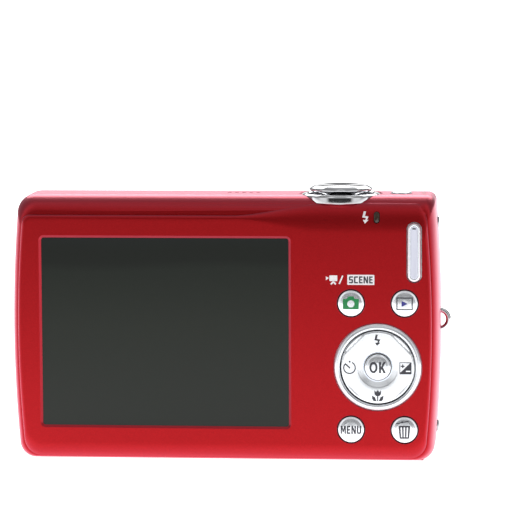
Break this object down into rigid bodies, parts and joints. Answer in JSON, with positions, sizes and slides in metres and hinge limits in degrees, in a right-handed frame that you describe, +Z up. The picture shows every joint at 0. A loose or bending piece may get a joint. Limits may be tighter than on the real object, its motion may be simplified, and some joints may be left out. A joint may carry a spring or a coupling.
{
  "type": "compact digital camera",
  "caption": "Slim point-and-shoot camera with a large rear monitor, four-way selector, chrome shutter button and a retracting zoom lens.",
  "frame": {"origin": "mouth of the tripod socket, in the middle of the base", "axes": "+Z up, +X to the right as seen from the back, -Y out of the monitor and +Y out of the lens"},
  "size_m": [0.0917, 0.0194, 0.0574],
  "materials": {
    "painted_cover": "satin metallic red paint on pressed aluminium",
    "monitor_glass": "clear cast sheet over the dark monitor",
    "monitor_stack": "glass cell and backlight",
    "pressed_steel": "bright stamped steel",
    "chrome_plate": "bright chrome plate",
    "silver_ring": "satin silver coating",
    "pearl_key": "pearl silver-white moulding",
    "lens_barrel": "fine turned and anodised",
    "black_plastic": "fine moulded",
    "lens_glass": "coated optical glass",
    "clear_window": "clear moulded, fine prismatic",
    "amber_window": "tinted clear",
    "green_lamp": "tinted clear",
    "circuit_board": "solder-masked board",
    "flex_board": "amber flexible board",
    "gold_contact": "gold-plated spring contact",
    "gear_plastic": "natural acetal",
    "rubber_seat": "soft matte",
    "dark_sleeve": "shrink sleeve",
    "card_label": "moulded with a plain label",
    "orange_catch": "moulded"
  },
  "bodies": {
    "camera_body": {"front_cover": "painted_cover", "rear_cover": "painted_cover", "monitor_window": "monitor_glass", "monitor_panel": "monitor_stack", "monitor_frame": "pressed_steel", "selector_bezel": "silver_ring", "flash_lamp": "amber_window", "shutter_collar": "chrome_plate", "power_lamp": "green_lamp", "strap_lug": "chrome_plate", "side_screws": "pressed_steel", "base_screws": "pressed_steel", "tripod_socket": "pressed_steel", "cable_connector": "pressed_steel", "speaker": "black_plastic", "inner_chassis": "black_plastic", "card_slot": "pressed_steel", "battery_contacts": "gold_contact", "main_board": "circuit_board", "key_board": "flex_board", "key_domes": "pressed_steel", "top_switches": "black_plastic", "lens_base": "black_plastic", "lens_ring": "chrome_plate", "sensor_board": "circuit_board", "zoom_motor": "pressed_steel", "flash_window": "clear_window", "flash_reflector": "chrome_plate", "flash_tube": "clear_window", "flash_capacitor": "dark_sleeve", "af_lamp_window": "amber_window", "battery": "dark_sleeve", "memory_card": "card_label", "shutter_spring": "pressed_steel"},
    "shutter_release": {"shutter_button": "chrome_plate"},
    "power_switch": {"power_button": "chrome_plate"},
    "zoom_lever": {"zoom_rocker": "pearl_key"},
    "mode_key": {"mode_button": "pearl_key"},
    "playback_key": {"playback_button": "pearl_key"},
    "menu_key": {"menu_button": "pearl_key"},
    "delete_key": {"delete_button": "pearl_key"},
    "ok_key": {"ok_button": "pearl_key"},
    "selector_cradle": {"selector_seat": "rubber_seat"},
    "selector_disc": {"multi_selector": "pearl_key"},
    "door_pin": {"door_hinge_pin": "pressed_steel"},
    "door": {"battery_door": "painted_cover"},
    "latch": {"battery_latch": "orange_catch"},
    "lens_outer": {"barrel_outer": "lens_barrel"},
    "lens_inner": {"barrel_inner": "lens_barrel", "lens_bezel": "black_plastic", "front_lens": "lens_glass", "shutter_unit": "black_plastic"},
    "blade_upper": {"cover_blade_upper": "black_plastic"},
    "blade_lower": {"cover_blade_lower": "black_plastic"},
    "cam": {"cam_ring": "black_plastic"},
    "idler": {"idler_gear": "gear_plastic"},
    "compound": {"compound_gear": "gear_plastic"},
    "pinion": {"motor_pinion": "gold_contact"},
    "focus_group": {"focus_holder": "black_plastic", "rear_lens": "lens_glass"}
  },
  "joints": [
    {"name": "shutter_press", "type": "slide", "parent": "camera_body", "child": "shutter_release", "axis": [0, 0, -1], "range_m": [0, 0.001], "stiffness_N_per_m": 1000, "deforming": ["shutter_spring"]},
    {"name": "power_press", "type": "slide", "parent": "camera_body", "child": "power_switch", "axis": [0, 0, -1], "range_m": [0, 0.00035], "stiffness_N_per_m": 1000},
    {"name": "zoom_tilt", "type": "hinge", "parent": "camera_body", "child": "zoom_lever", "pos_m": [0.03955, -0.00735, 0.044], "axis": [1, 0, 0], "range_deg": [-3, 3], "stiffness_Nm_per_rad": 0.05},
    {"name": "mode_press", "type": "slide", "parent": "camera_body", "child": "mode_key", "axis": [0, 1, 0], "range_m": [0, 0.0003], "stiffness_N_per_m": 1000},
    {"name": "playback_press", "type": "slide", "parent": "camera_body", "child": "playback_key", "axis": [0, 1, 0], "range_m": [0, 0.0003], "stiffness_N_per_m": 1000},
    {"name": "menu_press", "type": "slide", "parent": "camera_body", "child": "menu_key", "axis": [0, 1, 0], "range_m": [0, 0.0003], "stiffness_N_per_m": 1000},
    {"name": "delete_press", "type": "slide", "parent": "camera_body", "child": "delete_key", "axis": [0, 1, 0], "range_m": [0, 0.0003], "stiffness_N_per_m": 1000},
    {"name": "ok_press", "type": "slide", "parent": "camera_body", "child": "ok_key", "axis": [0, 1, 0], "range_m": [0, 0.0003], "stiffness_N_per_m": 1000},
    {"name": "selector_tilt_updown", "type": "hinge", "parent": "camera_body", "child": "selector_cradle", "pos_m": [0.03205, -0.0071, 0.0201], "axis": [1, 0, 0], "range_deg": [-2.4, 2.4], "stiffness_Nm_per_rad": 0.05},
    {"name": "selector_tilt_sideways", "type": "hinge", "parent": "selector_cradle", "child": "selector_disc", "pos_m": [0.03205, -0.0071, 0.0201], "axis": [0, 0, 1], "range_deg": [-2.4, 2.4], "stiffness_Nm_per_rad": 0.05},
    {"name": "door_swing", "type": "hinge", "parent": "camera_body", "child": "door_pin", "pos_m": [0.0254, 0.0064, 0.00075], "axis": [1, 0, 0], "range_deg": [0, 100]},
    {"name": "door_slide", "type": "slide", "parent": "door_pin", "child": "door", "axis": [-1, 0, 0], "range_m": [0, 0.0012]},
    {"name": "latch_slide", "type": "slide", "parent": "camera_body", "child": "latch", "axis": [-1, 0, 0], "range_m": [0, 0.001], "stiffness_N_per_m": 200},
    {"name": "lens_extend", "type": "slide", "parent": "camera_body", "child": "lens_outer", "axis": [0, 1, 0], "range_m": [0, 0.0075]},
    {"name": "lens_inner_slide", "type": "slide", "parent": "lens_outer", "child": "lens_inner", "axis": [0, 1, 0], "range_m": [0, 0.007]},
    {"name": "blade_upper_turn", "type": "hinge", "parent": "lens_inner", "child": "blade_upper", "pos_m": [-0.0227, 0, 0.0276], "axis": [0, -1, 0], "range_deg": [0, 36]},
    {"name": "blade_lower_turn", "type": "hinge", "parent": "lens_inner", "child": "blade_lower", "pos_m": [-0.0063, 0, 0.0264], "axis": [0, -1, 0], "range_deg": [0, 36]},
    {"name": "cam_turn", "type": "hinge", "parent": "camera_body", "child": "cam", "pos_m": [-0.0145, 0, 0.027], "axis": [0, 1, 0], "range_deg": [0, 60]},
    {"name": "idler_turn", "type": "hinge", "parent": "camera_body", "child": "idler", "pos_m": [0.00033, 0, 0.01662], "axis": [0, 1, 0], "range_deg": [-278.5, 0]},
    {"name": "compound_turn", "type": "hinge", "parent": "camera_body", "child": "compound", "pos_m": [0.00298, 0, 0.01203], "axis": [0, 1, 0], "range_deg": [0, 445]},
    {"name": "pinion_turn", "type": "hinge", "parent": "camera_body", "child": "pinion", "pos_m": [-0.00303, 0, 0.01097], "axis": [0, 1, 0], "range_deg": [-1222, 0]},
    {"name": "focus_travel", "type": "slide", "parent": "camera_body", "child": "focus_group", "axis": [0, 1, 0], "range_m": [0, 0.0015]}
  ],
  "couplings": [
    {"joint": "lens_inner_slide", "follows": "lens_extend", "ratio": 0.93333},
    {"joint": "blade_upper_turn", "follows": "lens_extend", "rad_per_m": 83.776},
    {"joint": "blade_lower_turn", "follows": "lens_extend", "rad_per_m": 83.776},
    {"joint": "cam_turn", "follows": "lens_extend", "rad_per_m": 139.63},
    {"joint": "idler_turn", "follows": "lens_extend", "rad_per_m": -645.77},
    {"joint": "compound_turn", "follows": "lens_extend", "rad_per_m": 1033.2},
    {"joint": "pinion_turn", "follows": "lens_extend", "rad_per_m": -2841.4}
  ]
}
